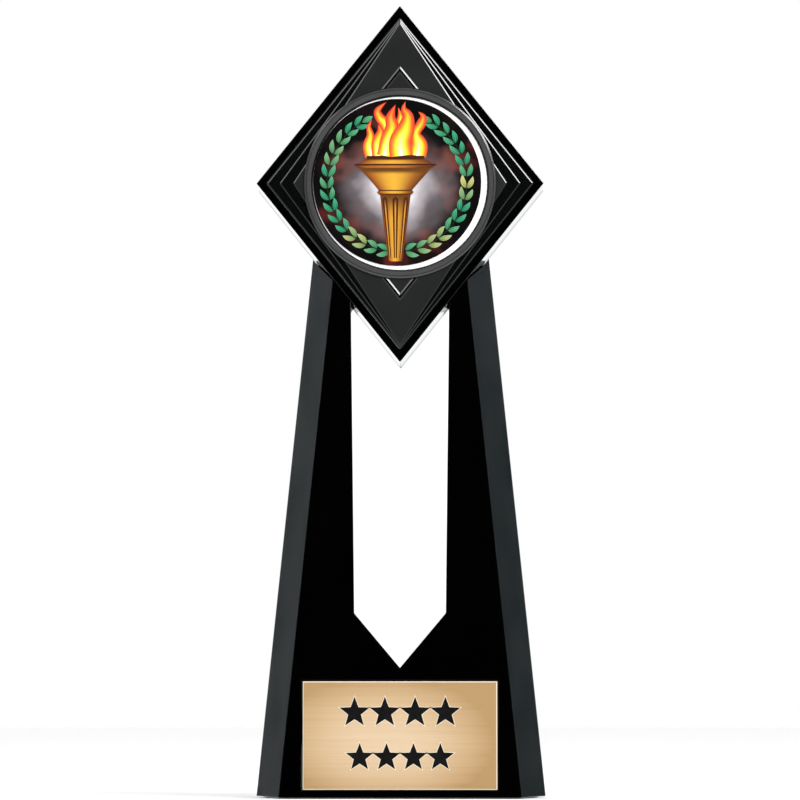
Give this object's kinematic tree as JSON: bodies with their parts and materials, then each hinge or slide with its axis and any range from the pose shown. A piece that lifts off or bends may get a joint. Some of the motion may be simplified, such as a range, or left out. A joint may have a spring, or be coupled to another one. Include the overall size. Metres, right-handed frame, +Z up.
{
  "type": "column trophy",
  "caption": "Tapered hollow tower trophy with a see-through window, a diamond-shaped head in a V notch, a round insert disc and an engraved plate.",
  "frame": {"origin": "centre of the trophy's box on the surface that it stands on", "axes": "+Z up, -Y out of the front face, +X to the right of a viewer who faces the front"},
  "size_m": [0.0866, 0.0252, 0.2355],
  "materials": {
    "gloss_black": "polished moulding",
    "matte_black": "fine matte moulding",
    "ring_plastic": "satin",
    "white_plastic": "satin",
    "print_film": "full-colour print under clear film",
    "brushed_brass": "brushed",
    "screw_steel": "zinc plated",
    "ballast_iron": "as cast",
    "felt": "short-pile felt",
    "foam_tape": "double-sided foam tape"
  },
  "bodies": {
    "root": {"tower_shell": "gloss_black", "tower_back_cover": "matte_black", "cover_screw_1": "screw_steel", "cover_screw_2": "screw_steel", "cover_screw_3": "screw_steel", "cover_screw_4": "screw_steel", "cover_screw_5": "screw_steel", "cover_screw_6": "screw_steel", "ballast_block": "ballast_iron", "ballast_screw_1": "screw_steel", "ballast_screw_2": "screw_steel", "base_pad": "felt", "head_shell": "gloss_black", "head_back_cover": "matte_black", "head_screw_1": "screw_steel", "head_screw_2": "screw_steel", "head_screw_3": "screw_steel", "head_screw_4": "screw_steel", "insert_holder": "ring_plastic", "insert_adhesive": "foam_tape", "insert_disc": "white_plastic", "insert_print": "print_film", "engraved_plate": "brushed_brass", "plate_adhesive": "foam_tape"}
  },
  "joints": []
}
